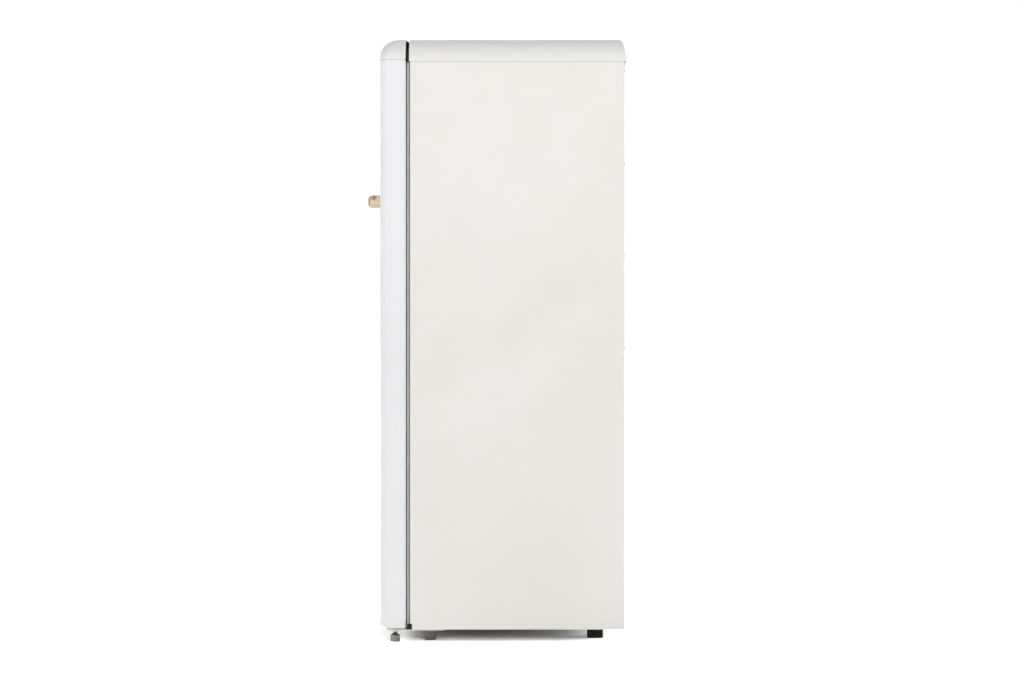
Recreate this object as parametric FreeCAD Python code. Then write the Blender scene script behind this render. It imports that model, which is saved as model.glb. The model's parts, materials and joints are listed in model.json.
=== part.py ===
import FreeCAD, Part

import math
import os

# A tall single-door refrigerator with rounded retro edges, in millimetres.
# +Z is up, the door faces -Y, and the door's hinge is on the +X side.
# The origin is on the floor, at the centre of the whole object's footprint.

Vec = FreeCAD.Vector
X_AXIS, Y_AXIS, Z_AXIS = Vec(1, 0, 0), Vec(0, 1, 0), Vec(0, 0, 1)

# ---------------------------------------------------------------- driving dimensions
WIDTH = 550.0
HEIGHT = 1435.0
HANDLE_REACH = 47.0        # from the door's front face to the front of the handle
DOOR_THICKNESS = 59.0
DOOR_GAP = 12.5            # between the door and the cabinet, filled by the gasket
CABINET_DEPTH = 508.0
COVER_OVERHANG = 5.5       # of the top cover, behind the cabinet
COVER_LIP = 1.0            # how far the plastic caps stand out past the steel sheet
SHEET = 0.8                # painted steel sheet
PLASTIC = 1.5              # thermoformed liners
CABINET_BOTTOM = 34.0      # height of the cabinet's underside over the floor
COVER_LINE = 1379.0        # joint between the cabinet and its top cover
DOOR_BOTTOM = 36.5
DOOR_SKIN_BOTTOM = 46.0
CAP_LINE = 1383.0          # joint between the door's skin and its top cap
TOP_CORNER = 52.0          # radius of the rounded top corners, seen from the front
DOOR_EDGE = 25.0           # radius of the door's upright front edges
CAP_FRONT = 45.0           # radius of the door's top front edge
WALL = 46.0                # cabinet wall, from the outside to the inside of the liner

# ---------------------------------------------------------------- derived positions
DEPTH = HANDLE_REACH + DOOR_THICKNESS + DOOR_GAP + CABINET_DEPTH + COVER_OVERHANG
HANDLE_FRONT = -DEPTH / 2
DOOR_FRONT = HANDLE_FRONT + HANDLE_REACH
DOOR_BACK = DOOR_FRONT + DOOR_THICKNESS
CAB_FRONT = DOOR_BACK + DOOR_GAP
CAB_BACK = CAB_FRONT + CABINET_DEPTH
COVER_FRONT = CAB_FRONT - 2.0
COVER_HALF = WIDTH / 2
PANEL_OUT = COVER_HALF - COVER_LIP
PANEL_IN = PANEL_OUT - SHEET
ROOM_HALF = COVER_HALF - WALL             # half the inside width
ROOM_FLOOR, ROOM_TOP = 92.0, 1325.0
ROOM_BACK = CAB_BACK - 55.5
HUMP_FRONT, HUMP_TOP = 86.0, 292.0        # the liner's step over the compressor bay
BAY_FRONT, BAY_TOP = 119.0, 237.0         # the compressor bay, open at the back
FLANGE = 30.0                             # front return of a side panel
FLANGE_IN = PANEL_OUT - FLANGE
DOOR_OPENING = PANEL_OUT - 12.0           # half the opening between the door skin's returns
PIVOT = Vec(COVER_HALF - 24.0, DOOR_FRONT + 25.0, 0)
FOOT_X, FOOT_Y = 225.0, -234.3            # the two adjustable feet, under the door's corners
FOOT_RADIUS = 11.4
GLIDE_X, GLIDE_Y = 190.0, -151.3          # the two fixed feet behind them
BRACKET_TOP = CABINET_BOTTOM
BRACKET_BOTTOM = BRACKET_TOP - 3.0
PIN_RADIUS = 4.0
CAP_REACH = 2.2                           # how far the door's end caps come back past the door
CAP_BACK = DOOR_BACK + CAP_REACH
SWEEP_RADIUS = 44.0                       # clear space about the hinge axis for the door's back corner
ARM_X, ARM_LOW, ARM_THICK = PIVOT.x - 50.0, 1386.5, 3.0
RUNNING = 0.05                            # radial clearance of a pin in its bore
FIT = 0.1                                 # clearance between parts that are pushed or slid together
CUT = 1.0                                 # how far a cutting shape runs past the face that it cuts
BUSH_RADIUS = 8.0
BUSH_SPANS = [(DOOR_BOTTOM, 60.0), (1360.0, 1385.0)]
SHELF_LEVELS = [540.0, 790.0, 1040.0]     # underside of each glass shelf
CRISPER_COVER_LEVEL, CRISPER_FRONT = 290.0, -95.0
GLASS = 4.0
SHELF_FRONT, SHELF_BACK = -72.0, ROOM_BACK - 7.0
SHELF_HALF = ROOM_HALF - 4.0
RIB_REACH, RIB_HEIGHT = 8.0, 6.0          # the liner's shelf runners
DYKE_HALF, DYKE_INNER = 208.0, 190.0      # the raised ring on the door's liner
DYKE_BOTTOM, DYKE_TOP, DYKE_WALL = 110.0, 1310.0, 18.0
DYKE_BACK = DOOR_BACK + 85.0
LIP = 2.8                                 # height of the lip round the door's liner
BIN_HALF = DYKE_INNER - 0.7
BIN_BACK = DOOR_BACK + 100.0
BIN_WALL = 2.2
GASKET_HALF, GASKET_BOTTOM, GASKET_TOP = 250.0, 46.5, 1378.0
CONTROL = {"half": 105.0, "front": -70.0, "back": 70.0, "bottom": 1283.0}
KNOB_X, KNOB_Z = 60.0, 1304.0
COMPRESSOR_X, COMPRESSOR_Y = 70.0, 214.0
DRAIN_Y, DRAIN_LOW = ROOM_BACK - 7.5, 212.0  # the drain, in the trough at the foot of the liner's back wall
DRAIN_TOP = HUMP_TOP + 23.0               # clear of the rounding at the wall's foot
DRAIN_RADIUS, DRAIN_BORE = 9.0, 7.0
HANDLE_LEFT, HANDLE_RIGHT = -195.0, -85.0
HANDLE_DEPTH, HANDLE_BOTTOM, HANDLE_HEIGHT = 29.0, 1056.2, 26.5
HANDLE_CROWN, HANDLE_EDGE = 11.0, 1.2     # radii of the bar's top edges, and of its other edges
HANDLE_POSTS = [HANDLE_LEFT + 12.0, HANDLE_RIGHT - 12.0]
HANDLE_POST_RADIUS = 6.5
HANDLE_MID = HANDLE_BOTTOM + HANDLE_HEIGHT / 2
TOP_SCREWS = [(x, CAB_FRONT + 50.0) for x in (165.0, 206.0, 247.0)]    # they hold the upper hinge
PLATE_SCREWS = [(222.0, -178.0), (254.0, -178.0), (238.0, -128.0)]     # they hold a front corner's plate
BRACKET_SCREW = {"head_radius": 4.6, "head_height": 2.6, "shank_radius": 2.4, "length": 19.0}


# ---------------------------------------------------------------- helpers
def box(x0, x1, y0, y1, z0, z1):
    return Part.makeBox(x1 - x0, y1 - y0, z1 - z0, Vec(x0, y0, z0))


def rod(start, direction, length, radius):
    return Part.makeCylinder(radius, length, start, direction)


def fuse(first, *others):
    return first.fuse(list(others)).removeSplitter()


def mirrored(shape):
    """The same shape on the other side of the X = 0 plane."""
    return shape.mirror(Vec(0, 0, 0), X_AXIS)


def both_sides(shape):
    return Part.makeCompound([shape, mirrored(shape)])


def hexagon(x, y, reach):
    """The corners of a hexagon, each at the same reach from its middle."""
    turns = [i * math.pi / 3 for i in range(6)]
    return [(x + reach * math.cos(turn), y + reach * math.sin(turn)) for turn in turns]


def edges_at_top(shape, height):
    return [e for e in shape.Edges if abs(e.BoundBox.ZMin - height) < 0.01]


def edges_at_bottom(shape, height):
    return [e for e in shape.Edges if abs(e.BoundBox.ZMax - height) < 0.01]


def edges_along(shape, axis, **where):
    """Straight edges along an axis, with x, y or z of the middle near the given values."""
    found = []
    for edge in shape.Edges:
        ends = [v.Point for v in edge.Vertexes]
        if len(ends) != 2:
            continue
        run = ends[1] - ends[0]
        if run.Length < 1e-6 or abs(run.normalize().dot(axis)) < 0.999:
            continue
        middle = (ends[0] + ends[1]) * 0.5
        if all(min(abs(getattr(middle, k) - v) for v in values) < 0.2 for k, values in where.items()):
            found.append(edge)
    return found


def rounded(shape, radius, axis, **where):
    return shape.makeFillet(radius, edges_along(shape, axis, **where))


def outline(points, radii, place):
    """A closed face through 2-D points, with each corner rounded to its radius.

    place maps (u, v) to a point in space.
    """
    n, pieces, ends = len(points), [], []
    for i in range(n):
        before, here, after = (Vec(*points[(i + k) % n], 0) for k in (-1, 0, 1))
        a, b = (before - here).normalize(), (after - here).normalize()
        radius = radii[i]
        half = a.getAngle(b) / 2
        reach = radius / math.tan(half) if radius else 0.0
        middle = here + (a + b).normalize() * (radius / math.sin(half) - radius) if radius else here
        ends.append((here + a * reach, middle, here + b * reach))
    for i in range(n):
        start, middle, stop = (place(p.x, p.y) for p in ends[i])
        if radii[i]:
            pieces.append(Part.Arc(start, middle, stop).toShape())
        following = place(ends[(i + 1) % n][0].x, ends[(i + 1) % n][0].y)
        if stop.distanceToPoint(following) > 1e-6:
            pieces.append(Part.LineSegment(stop, following).toShape())
    return Part.Face(Part.Wire(pieces))


def slab_yz(points, radii, x0, x1):
    """An outline in the Y-Z plane, drawn out along X."""
    return outline(points, radii, lambda u, v: Vec(x0, u, v)).extrude(Vec(x1 - x0, 0, 0))


def slab_xz(points, radii, y0, y1):
    return outline(points, radii, lambda u, v: Vec(u, y0, v)).extrude(Vec(0, y1 - y0, 0))


def slab_xy(points, radii, z0, z1):
    return outline(points, radii, lambda u, v: Vec(u, v, z0)).extrude(Vec(0, 0, z1 - z0))


def pipe(points, radius, bend):
    """A round tube along straight runs joined by tangent arcs of one bend radius."""
    pieces, start = [], points[0]
    for i in range(1, len(points) - 1):
        a, b = (points[i - 1] - points[i]).normalize(), (points[i + 1] - points[i]).normalize()
        half = a.getAngle(b) / 2
        reach = bend / math.tan(half)
        into, out = points[i] + a * reach, points[i] + b * reach
        middle = points[i] + (a + b).normalize() * (bend / math.sin(half) - bend)
        if start.distanceToPoint(into) > 1e-6:
            pieces.append(Part.LineSegment(start, into).toShape())
        pieces.append(Part.Arc(into, middle, out).toShape())
        start = out
    pieces.append(Part.LineSegment(start, points[-1]).toShape())
    path = Part.Wire(pieces)
    section = Part.Wire([Part.makeCircle(radius, points[0], (points[1] - points[0]).normalize())])
    return path.makePipeShell([section], True, False)


def serpentine(runs, low, high, place):
    """Points of a tube that goes up and down at each of the runs in turn."""
    points = []
    for i, run in enumerate(runs):
        pair = [place(run, low), place(run, high)]
        points += pair if i % 2 == 0 else pair[::-1]
    return points


def screw(seat, direction, head_radius, head_height, shank_radius, length):
    """A pan-head screw: its head stands out of the seat, and its shank goes the other way."""
    head = rod(seat, direction, head_height, head_radius)
    head = head.makeFillet(min(head_radius, head_height) * 0.4, [head.Edges[0]])
    return fuse(head, rod(seat, direction * -1, length, shank_radius))


# ---------------------------------------------------------------- cabinet shell
def side_panel():
    """One steel side: a flat sheet with a wide front return and a narrow back return."""
    back_return = 12.0
    bend = 2.5
    points = [
        (FLANGE_IN, CAB_FRONT), (PANEL_OUT, CAB_FRONT), (PANEL_OUT, CAB_BACK),
        (PANEL_OUT - back_return, CAB_BACK), (PANEL_OUT - back_return, CAB_BACK - SHEET),
        (PANEL_IN, CAB_BACK - SHEET), (PANEL_IN, CAB_FRONT + SHEET), (FLANGE_IN, CAB_FRONT + SHEET),
    ]
    radii = [0, bend, bend, 0, 0, bend - SHEET, bend - SHEET, 0]
    return slab_xy(points, radii, CABINET_BOTTOM, COVER_LINE)


def top_plate(cutters):
    """Closes the cabinet's top, with a turned-down front edge."""
    lip = 34.0
    plate = box(-PANEL_IN + 1.8, PANEL_IN - 1.8, CAB_FRONT + SHEET, CAB_BACK - 2 * SHEET - FIT,
                COVER_LINE - SHEET, COVER_LINE)
    edge = box(-FLANGE_IN, FLANGE_IN, CAB_FRONT, CAB_FRONT + SHEET, COVER_LINE - lip, COVER_LINE)
    return fuse(plate, edge).cut(cutters)


def bottom_pan(cutters):
    """The underside: flat at the front, then stepped up and back over the compressor bay."""
    half, t, lip = PANEL_IN - 1.8, 1.0, 41.0
    low, high = CABINET_BOTTOM, BAY_TOP
    points = [
        (CAB_FRONT + SHEET, low), (BAY_FRONT, low), (BAY_FRONT, high), (CAB_BACK - 2 * SHEET - FIT, high),
        (CAB_BACK - 2 * SHEET - FIT, high + t), (BAY_FRONT - t, high + t), (BAY_FRONT - t, low + t),
        (CAB_FRONT + SHEET, low + t),
    ]
    pan = slab_yz(points, [0, 0, 3, 0, 0, 3 + t, 0, 0], -half, half)
    edge = box(-FLANGE_IN, FLANGE_IN, CAB_FRONT, CAB_FRONT + SHEET, low, low + lip)
    return fuse(pan, edge).cut(cutters)


def back_panel():
    """A flat sheet between the side panels' returns, with three long pressed pads."""
    half = PANEL_IN - 2.0
    sheet = box(-half, half, CAB_BACK - 2 * SHEET, CAB_BACK - SHEET, BAY_TOP + 1, COVER_LINE - 1)
    pads = []
    for x in (-150.0, 0.0, 150.0):
        pad = box(x - 55, x + 55, CAB_BACK - SHEET, CAB_BACK + 1.6, 330.0, 1290.0)
        pad = rounded(pad, 18.0, Y_AXIS)
        top_edges = [e for e in pad.Edges if abs(e.CenterOfMass.y - (CAB_BACK + 1.6)) < 1e-4]
        pads.append(pad.makeFillet(1.4, top_edges))
    return fuse(sheet, *pads)


def compressor_base():
    """The heavy plate that closes the bottom of the bay and carries the compressor and rear feet."""
    half, t = PANEL_IN - 2.0, 1.5
    y0, y1 = BAY_FRONT + 2 * FIT, CAB_BACK - SHEET - FIT
    plate = box(-half, half, y0, y1, CABINET_BOTTOM, CABINET_BOTTOM + t)
    sides = [box(x, x + t, y0, y1, CABINET_BOTTOM, CABINET_BOTTOM + 26) for x in (-half, half - t)]
    lip = box(-half, half, y1 - t, y1, CABINET_BOTTOM, CABINET_BOTTOM + 16)
    slots = []
    for i in range(5):
        x = -215 + i * 18
        slots.append(rounded(box(x, x + 6, 200, 280, CABINET_BOTTOM - 1, CABINET_BOTTOM + 3), 2.9, Z_AXIS))
    return fuse(plate, lip, *sides).cut(slots)


def cover_block(inset, z0):
    """The top cover's outer shape, or, with an inset, its hollow."""
    half, top, corner = COVER_HALF - inset, HEIGHT - inset, TOP_CORNER - inset
    front, back = COVER_FRONT + inset, CAB_BACK + COVER_OVERHANG - inset
    across = slab_xz([(-half, z0), (half, z0), (half, top), (-half, top)], [0, 0, corner, corner],
                     front - 1, back + 1)
    along = slab_yz(
        [(front, z0), (back, z0), (back, 1388), (back - 8.5, 1424), (back - 14, top), (front, top)],
        [0, 0, 4, 5, 4, 3], -COVER_HALF - 1, COVER_HALF + 1)
    return across.common(along)


def top_cover():
    """The moulded top: a hollow lid with two big rounded edges, and a slot in front for the hinge arm."""
    shell = cover_block(0, COVER_LINE).cut(cover_block(3.0, COVER_LINE - 1))
    low, high = ARM_LOW - 1, ARM_LOW + ARM_THICK + 1
    slot = box(ARM_X - 10, ARM_X + 10, COVER_FRONT - CUT, COVER_FRONT + 4, low, high)
    return shell.cut([slot, mirrored(slot)])


# ---------------------------------------------------------------- inner liner and foam
def room(grow):
    """The inside space with its step over the bay, grown outwards by a wall thickness."""
    front, back = CAB_FRONT - (1 if grow == 0 else -PLASTIC), ROOM_BACK + grow
    low, high = ROOM_FLOOR - grow, ROOM_TOP + grow
    points = [
        (front, low), (HUMP_FRONT + grow, low), (HUMP_FRONT + grow, HUMP_TOP - grow),
        (back, HUMP_TOP - grow), (back, high), (front, high),
    ]
    radius = 20.0
    solid = slab_yz(points, [0, radius + grow, radius - grow, radius + grow, radius + grow, 0],
                    -ROOM_HALF - grow, ROOM_HALF + grow)
    end = 14.0 + grow
    sides = [
        e for e in solid.Edges
        if abs(abs(e.CenterOfMass.x) - (ROOM_HALF + grow)) < 0.01 and e.CenterOfMass.y > front + 0.5
    ]
    return solid.makeFillet(end, sides)


def shelf_rib(level, back):
    rib = box(ROOM_HALF - RIB_REACH, ROOM_HALF + PLASTIC / 2, -66, back, level - RIB_HEIGHT, level)
    return rounded(rib, 2.5, Y_AXIS, x=[ROOM_HALF - RIB_REACH], z=[level - RIB_HEIGHT])


def drain_core(radius, top):
    return rod(Vec(COMPRESSOR_X, DRAIN_Y, DRAIN_LOW), Z_AXIS, top - DRAIN_LOW, radius)


def inner_liner():
    """The one-piece white tub with its front flange, shelf runners, floor ribs and drain hole."""
    tub = room(PLASTIC).cut(room(0))
    flange = box(-FLANGE_IN + FIT, FLANGE_IN - FIT, CAB_FRONT, CAB_FRONT + PLASTIC, 75 + FIT, 1345 - FIT)
    flange = flange.cut(room(0))
    ribs = [shelf_rib(level, SHELF_BACK - 10) for level in SHELF_LEVELS]
    ribs.append(shelf_rib(CRISPER_COVER_LEVEL, HUMP_FRONT - 6))
    low, high = ROOM_FLOOR - 0.5, ROOM_FLOOR + 4.5
    floor = [box(x - 4, x + 4, -150, HUMP_FRONT - 24, low, high) for x in (150, 90, 30)]
    every = [side for part in ribs + floor for side in (part, mirrored(part))]
    liner = fuse(tub, flange, *every)
    return liner.cut(drain_core(DRAIN_BORE, DRAIN_TOP))


def foam(cutters):
    """The rigid foam that fills the walls, shaped by everything around it."""
    block = box(-PANEL_IN + 0.05, PANEL_IN - 0.05, CAB_FRONT + PLASTIC, CAB_BACK - 2 * SHEET,
                CABINET_BOTTOM + 1, COVER_LINE - SHEET)
    block = block.makeChamfer(2.5, edges_along(block, Z_AXIS))
    bay = box(-COVER_HALF, COVER_HALF, BAY_FRONT - 1, CAB_BACK + 1, 0, BAY_TOP + 1)
    coil_room = box(268.0, PANEL_IN + 1, -160, 270, 262, 1340)
    coil_drop = box(268.0, PANEL_IN + 1, 190, 270, BAY_TOP, 262)
    plate_room = box(-200, 200, ROOM_BACK + PLASTIC, ROOM_BACK + 12.5, 600, 1262)
    coils = [coil_room, coil_drop, mirrored(coil_room), mirrored(coil_drop)]
    return block.cut([bay, room(PLASTIC), plate_room] + coils + cutters)


def condenser_tubes():
    """A tube that runs up and down behind each side panel and gives off the heat."""
    x, radius, bend = PANEL_IN - 2.6, 2.4, 29.9
    runs = [-130 + 60 * i for i in range(7)]
    points = serpentine(runs, 300, 1300, lambda y, z: Vec(x, y, z))
    points[0] = Vec(x, runs[0], 330)
    points[-1] = Vec(x, runs[-1], BAY_TOP + 1.2)
    return both_sides(pipe(points, radius, bend))


def evaporator():
    """The cold plate behind the liner's back wall, with its tube bonded to it."""
    y0 = ROOM_BACK + PLASTIC + FIT
    plate = rounded(box(-180, 180, y0, y0 + 1.0, 622, 1240), 12.0, Y_AXIS)
    radius = 4.0
    levels = [660 + 60 * i for i in range(10)]
    points = serpentine(levels, -160, 160, lambda z, x: Vec(x, y0 + radius + 0.6, z))
    return fuse(plate, pipe(points, radius, 29.9))


# ---------------------------------------------------------------- inside fittings
def glass_shelf(level, back):
    plate = box(-SHELF_HALF, SHELF_HALF, SHELF_FRONT, back, level, level + GLASS)
    return rounded(plate, 6.0, Z_AXIS)


def shelf_trim(level, glass):
    """The moulded strip along a shelf's front edge."""
    strip = box(-SHELF_HALF - 1, SHELF_HALF + 1, SHELF_FRONT - 7, SHELF_FRONT + 5, level - 5, level + 9)
    strip = rounded(strip, 4.0, X_AXIS, y=[SHELF_FRONT - 7])
    return strip.cut(glass)


def rear_trim(level, back, glass):
    """The upstand along a shelf's back edge, which keeps food off the cold wall."""
    half = SHELF_HALF - 14
    strip = box(-half, half, back - 8, back + 3, level - 4, level + GLASS + 3)
    upstand = box(-half, half, back - 0.5, back + 3, level - 4, level + 22)
    return fuse(strip, upstand).cut(glass)


def crisper_drawer():
    """The clear vegetable drawer."""
    half, front, back, low, high = 218.0, CRISPER_FRONT, 76.0, 97.0, 277.0
    wall, corner, foot = 2.5, 14.0, 9.0
    outer = rounded(box(-half, half, front, back, low, high), corner, Z_AXIS)
    outer = outer.makeFillet(foot, edges_at_bottom(outer, low))
    inner = box(-half + wall, half - wall, front + wall, back - wall, low + wall, high + CUT)
    inner = rounded(inner, corner - wall, Z_AXIS)
    inner = inner.makeFillet(foot - wall, edges_at_bottom(inner, low + wall))
    return outer.cut(inner)


def crisper_front_trim():
    """The white pull along the top of the drawer's front."""
    back, low, high = CRISPER_FRONT - FIT / 2, 226.0, 279.0
    plate, lip, wall = 4.0, 13.0, 3.5
    points = [
        (back, high), (back - lip, high), (back - lip, high - 17), (back - lip + wall, high - 17),
        (back - lip + wall, high - 6), (back - plate, high - 6), (back - plate, low), (back, low),
    ]
    return slab_yz(points, [0, 3.4, 0, 0, 2, 0, 0, 0], -206, 206)


def control_housing():
    """The box on the room's ceiling that holds the lamp and the thermostat."""
    half, front, back, low = (CONTROL[k] for k in ("half", "front", "back", "bottom"))
    outer = rounded(box(-half, half, front, back, low, ROOM_TOP - FIT), 14.0, Z_AXIS)
    outer = outer.makeFillet(5.0, edges_at_bottom(outer, low))
    inner = box(-half + 4, half - 4, front + 3, back - 4, low + 3, ROOM_TOP + CUT)
    window = box(-84, 22, -46, 46, low - 1, low + 4)
    return outer.cut([inner, window, rod(Vec(KNOB_X, front - 1, KNOB_Z), Y_AXIS, 8, 4.2)])


def lamp_lens():
    """The frosted cover of the lamp, whose two posts carry the lamp's board."""
    low = CONTROL["bottom"]
    face = rounded(box(-83.8, 21.8, -45.8, 45.8, low - 1.2, low + 3), 5.0, Z_AXIS)
    posts = [box(x, x + 2.5, -20, 20, low + 3, low + 22) for x in (-80, 15)]
    return fuse(face, *posts)


def led_board():
    low = CONTROL["bottom"] + 22
    board = box(-81, 19, -30, 30, low, low + 1.6)
    chips = [box(x, x + 5, y, y + 5, low - 1.6, low) for x in (-62, -38, -14) for y in (-16, 11)]
    return fuse(board, *chips)


def thermostat():
    """The switch body behind the dial, with the spindle that carries the knob."""
    front = CONTROL["front"] + 3.1
    body = box(KNOB_X - 18, KNOB_X + 18, front, front + 34, KNOB_Z - 14, KNOB_Z + 14)
    spindle = rod(Vec(KNOB_X, front - 15, KNOB_Z), Y_AXIS, 15.5, 3.0)
    return fuse(body, spindle)


def thermostat_knob():
    """The round temperature dial with a raised grip bar."""
    back = CONTROL["front"] - 0.6
    disc = rod(Vec(KNOB_X, back, KNOB_Z), Y_AXIS * -1, 9.0, 18.0)
    disc = disc.makeFillet(1.5, [e for e in disc.Edges if abs(e.CenterOfMass.y - back + 9) < 0.01])
    grip = rounded(box(KNOB_X - 4, KNOB_X + 4, back - 17, back - 8, KNOB_Z - 16, KNOB_Z + 16), 3.0, Y_AXIS)
    bore = rod(Vec(KNOB_X, back + 1, KNOB_Z), Y_AXIS * -1, 13.5, 3.0 + RUNNING)
    return fuse(disc, grip).cut(bore)


# ---------------------------------------------------------------- compressor bay
def compressor_shell():
    """The sealed steel pot: an oval body with domed ends and a welded rim."""
    half_x, half_y, low, high, rim = 101.0, 72.0, 49.0, 194.0, 122.0

    def oval(grow, z0, z1):
        hx, hy = half_x + grow, half_y + grow
        points = [(-hx, -hy), (hx, -hy), (hx, hy), (-hx, hy)]
        return slab_xy(points, [hy - 0.5] * 4, z0, z1)

    body = oval(0, low, high)
    body = body.makeFillet(34.0, edges_at_top(body, high))
    body = body.makeFillet(24.0, edges_at_bottom(body, low))
    ring = oval(4.5, rim - 1.5, rim + 1.5)
    pot = fuse(body, ring)
    pot.translate(Vec(COMPRESSOR_X, COMPRESSOR_Y, 0))
    return pot


GROMMETS = [(COMPRESSOR_X + dx, COMPRESSOR_Y + dy) for dx in (-96, 96) for dy in (-62, 62)]


def compressor_mounting_plate(pot):
    """The pressed plate with four ears that is welded under the pot."""
    points = [(-112, -76), (112, -76), (112, 76), (-112, 76)]
    plate = slab_xy(points, [16] * 4, 47.0, 50.0)
    plate.translate(Vec(COMPRESSOR_X, COMPRESSOR_Y, 0))
    holes = [rod(Vec(x, y, 40), Z_AXIS, 20, 8.0) for x, y in GROMMETS]
    return plate.cut([pot] + holes)


def compressor_grommets():
    """Four rubber buffers that sit in the plate's ears."""
    shapes = []
    for x, y in GROMMETS:
        base = rod(Vec(x, y, CABINET_BOTTOM + 1.5), Z_AXIS, 11.5, 12.0)
        neck = rod(Vec(x, y, CABINET_BOTTOM + 13), Z_AXIS, 3.0, 8.0)
        collar = rod(Vec(x, y, 50.0), Z_AXIS, 5.0, 11.0)
        ring = fuse(base, neck, collar).cut(rod(Vec(x, y, 20), Z_AXIS, 50, 3.2))
        shapes.append(ring)
    return Part.makeCompound(shapes)


def compressor_bolts():
    shapes = []
    for x, y in GROMMETS:
        shank = rod(Vec(x, y, CABINET_BOTTOM + 1.5), Z_AXIS, 23.5, 3.1)
        washer = rod(Vec(x, y, 55.0), Z_AXIS, 1.6, 10.0)
        nut = slab_xy(hexagon(x, y, 5.8), [0] * 6, 56.6, 61.6)
        shapes.append(fuse(shank, washer, nut))
    return Part.makeCompound(shapes)


def relay_cover(pot):
    """The black plastic box over the compressor's terminals and start relay."""
    x, low, high = COMPRESSOR_X + 92, 72.0, 146.0
    lid = box(x, x + 44, COMPRESSOR_Y - 32, COMPRESSOR_Y + 32, low, high)
    lid = rounded(lid, 7.0, Z_AXIS, x=[x + 44])
    lid = lid.makeFillet(4.0, [e for e in edges_at_top(lid, high) if e.CenterOfMass.x > x + 1])
    return lid.cut(pot)


def suction_tube(pot):
    x = COMPRESSOR_X
    points = [
        Vec(x - 96, COMPRESSOR_Y - 18, 150), Vec(x - 138, COMPRESSOR_Y - 18, 150),
        Vec(x - 138, 288, 150), Vec(x - 138, 288, BAY_TOP - FIT),
    ]
    return pipe(points, 4.0, 16).cut(pot)


def discharge_tube(pot):
    x = COMPRESSOR_X
    points = [
        Vec(x - 90, COMPRESSOR_Y + 14, 100), Vec(x - 178, COMPRESSOR_Y + 14, 100), Vec(x - 178, 290, 100),
        Vec(-196, 290, 100), Vec(-196, 290, BAY_TOP - FIT),
    ]
    return pipe(points, 2.6, 14).cut(pot)


def filter_drier():
    """The drier cartridge on the condenser's return, and the fine capillary that leaves it in loops."""
    x, y = -232.0, 246.0
    body = rod(Vec(x, y, 96), Z_AXIS, 84, 9.5)
    body = body.makeFillet(6.0, [e for e in body.Edges if e.Closed])
    inlet = rod(Vec(x, y, 179), Z_AXIS, BAY_TOP - FIT - 179, 2.6)
    across, low, high = x + 50, 62.0, 150.0
    loops = pipe([Vec(x, y, 97), Vec(x, y, low), Vec(across, y, low), Vec(across, y - 46, low),
                  Vec(across, y - 46, high), Vec(across, y - 80, high), Vec(across, y - 80, BAY_TOP - FIT)],
                 1.1, 12)
    return fuse(body, inlet, loops)


def evaporation_tray():
    """The pan on top of the compressor where melt water dries up."""
    cx, cy, low, high = COMPRESSOR_X, COMPRESSOR_Y + 10, 194.0, 222.0
    outer = rounded(box(cx - 84, cx + 84, cy - 58, cy + 58, low, high), 16.0, Z_AXIS)
    inner = rounded(box(cx - 82, cx + 82, cy - 56, cy + 56, low + 2, high + 1), 14.0, Z_AXIS)
    rim = rounded(box(cx - 88, cx + 88, cy - 62, cy + 62, high - 2, high), 20.0, Z_AXIS)
    return fuse(outer, rim).cut(inner)


def drain_tube():
    """Carries melt water from the liner's trough down to the pan."""
    top = HUMP_TOP - PLASTIC
    return drain_core(DRAIN_RADIUS, top).cut(drain_core(DRAIN_BORE, top))


def cord_gland():
    """The clamp on the bay's floor where a mains cord would enter."""
    x, y0, y1 = 232.0, 286.0, CAB_BACK - SHEET - 2.0
    block = box(x - 13, x + 13, y0, y1, CABINET_BOTTOM + 1.5, 64)
    block = rounded(block, 6.0, Y_AXIS, z=[64])
    return block.cut(rod(Vec(x, y0 - 1, 56), Y_AXIS, 40, 4.0))


# ---------------------------------------------------------------- hinges, brackets and feet
def top_hinge_bracket():
    """A cranked arm: its foot is screwed on the cabinet's top, and its neck reaches into the door's cap."""
    low, high, half = ARM_LOW, ARM_LOW + ARM_THICK, 5.0
    y0, y1 = CAB_FRONT + 12, CAB_FRONT + 64
    foot = slab_xy([(150, y0), (262, y0), (262, y1), (150, y1)], [4, 4, 10, 10], COVER_LINE, COVER_LINE + 3)
    riser = box(ARM_X - 16, ARM_X + 16, y0, y0 + 3, COVER_LINE, high)
    near, far = PIVOT.y - half, PIVOT.y + half
    arm = slab_xy([(ARM_X - half, near), (PIVOT.x, near), (PIVOT.x, far), (ARM_X + half, far),
                   (ARM_X + half, y0 + 3), (ARM_X - half, y0 + 3)], [5, 0, 0, 3, 0, 0], low, high)
    eye = rod(Vec(PIVOT.x, PIVOT.y, low), Z_AXIS, ARM_THICK, 7.0)
    return fuse(foot, riser, arm, eye)


def lower_plate():
    """The flat plate under a front corner, which reaches forward under the door."""
    front, back = PIVOT.y - 9.0, -112.0
    points = [(208, front), (266, front), (268, -205), (268, back), (208, back)]
    return slab_xy(points, [14, 18, 6, 6, 6], BRACKET_BOTTOM, BRACKET_TOP)


def lower_hinge_bracket(cutters):
    holes = [rod(Vec(PIVOT.x, PIVOT.y, 20), Z_AXIS, 30, PIN_RADIUS),
             rod(Vec(FOOT_X, FOOT_Y, 20), Z_AXIS, 30, PIN_RADIUS + RUNNING)]
    return lower_plate().cut(holes + cutters)


def left_foot_bracket(cutters):
    hole = rod(Vec(FOOT_X, FOOT_Y, 20), Z_AXIS, 30, PIN_RADIUS + RUNNING)
    return mirrored(lower_plate().cut(hole)).cut(cutters)


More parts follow.
